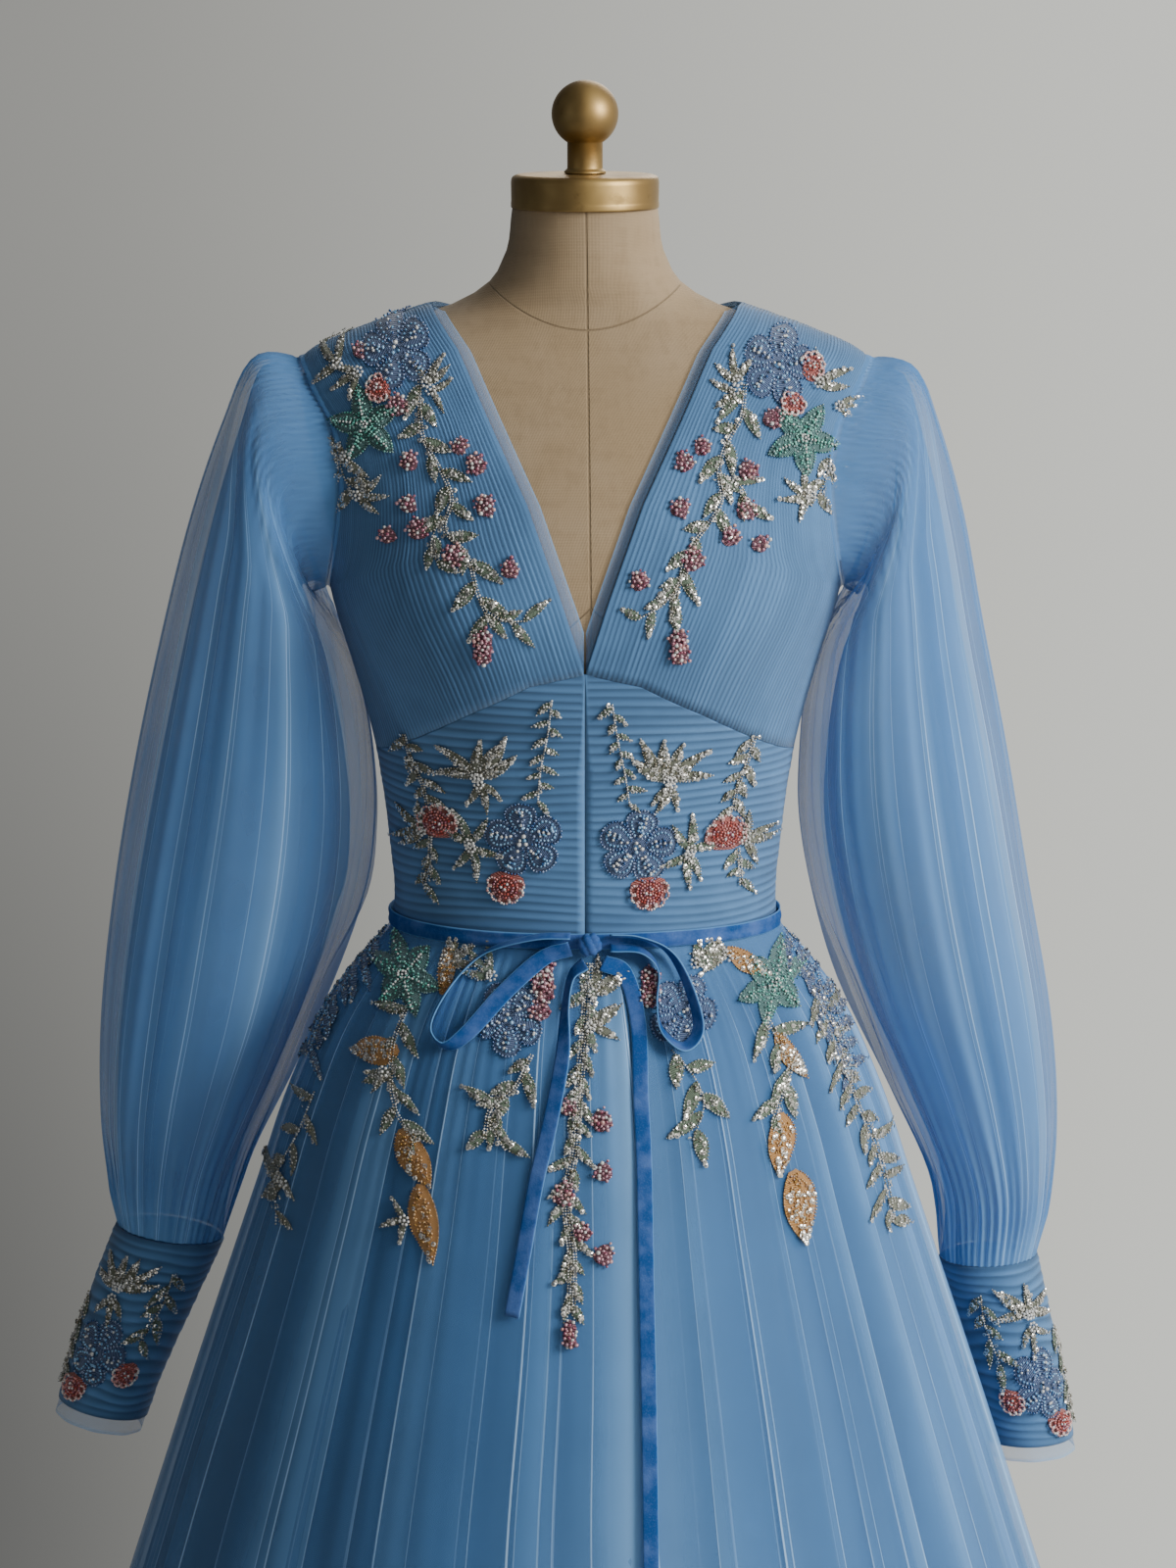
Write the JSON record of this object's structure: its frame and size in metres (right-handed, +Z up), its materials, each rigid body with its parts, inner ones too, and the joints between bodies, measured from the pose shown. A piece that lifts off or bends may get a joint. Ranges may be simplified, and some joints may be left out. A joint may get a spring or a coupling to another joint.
{
  "type": "a-line gown on a dress form",
  "caption": "Floor-length a-line gown with a pleated V-neck bodice, bishop sleeves and velvet ribbon belt, worn on a limbless dress form on a round stand.",
  "frame": {"origin": "centre of the underside of the stand's base", "axes": "+Z up along the stand, the front of the gown faces -Y, +X is on the viewer's right from the front"},
  "size_m": [1.0022, 0.9438, 1.5924],
  "materials": {
    "linen": "plain woven linen over a padded form",
    "brass": "aged satin brass",
    "pole": "aged brass, darker",
    "tulle": "soft blue tulle, pleated and gathered, beaded",
    "lining": "matt blue woven lining",
    "velvet": "blue velvet ribbon",
    "flower": "beaded blue applique",
    "star": "beaded teal applique",
    "blossom": "beaded coral applique"
  },
  "bodies": {
    "root": {"belt": "velvet", "bodice_back_left": "tulle", "bodice_back_right": "tulle", "bodice_front_left": "tulle", "bodice_front_right": "tulle", "bow_knot": "velvet", "bow_loop_left": "velvet", "bow_loop_right": "velvet", "bow_tail_left": "velvet", "bow_tail_right": "velvet", "cuff_left": "tulle", "cuff_right": "tulle", "finial": "brass", "form_torso": "linen", "hip_flower_left": "flower", "hip_flower_right": "flower", "hip_star_left": "star", "hip_star_right": "star", "midriff_back_left": "tulle", "midriff_back_right": "tulle", "midriff_blossom_left": "blossom", "midriff_blossom_right": "blossom", "midriff_flower_left": "flower", "midriff_flower_right": "flower", "midriff_front_left": "tulle", "midriff_front_right": "tulle", "neck_cap": "brass", "shoulder_flower_left": "flower", "shoulder_flower_right": "flower", "shoulder_star_left": "star", "shoulder_star_right": "star", "skirt_lining_back": "lining", "skirt_lining_front": "lining", "skirt_overlay_back": "tulle", "skirt_overlay_front": "tulle", "sleeve_left": "tulle", "sleeve_right": "tulle", "stand_base": "pole", "stand_pole": "pole"}
  },
  "joints": []
}
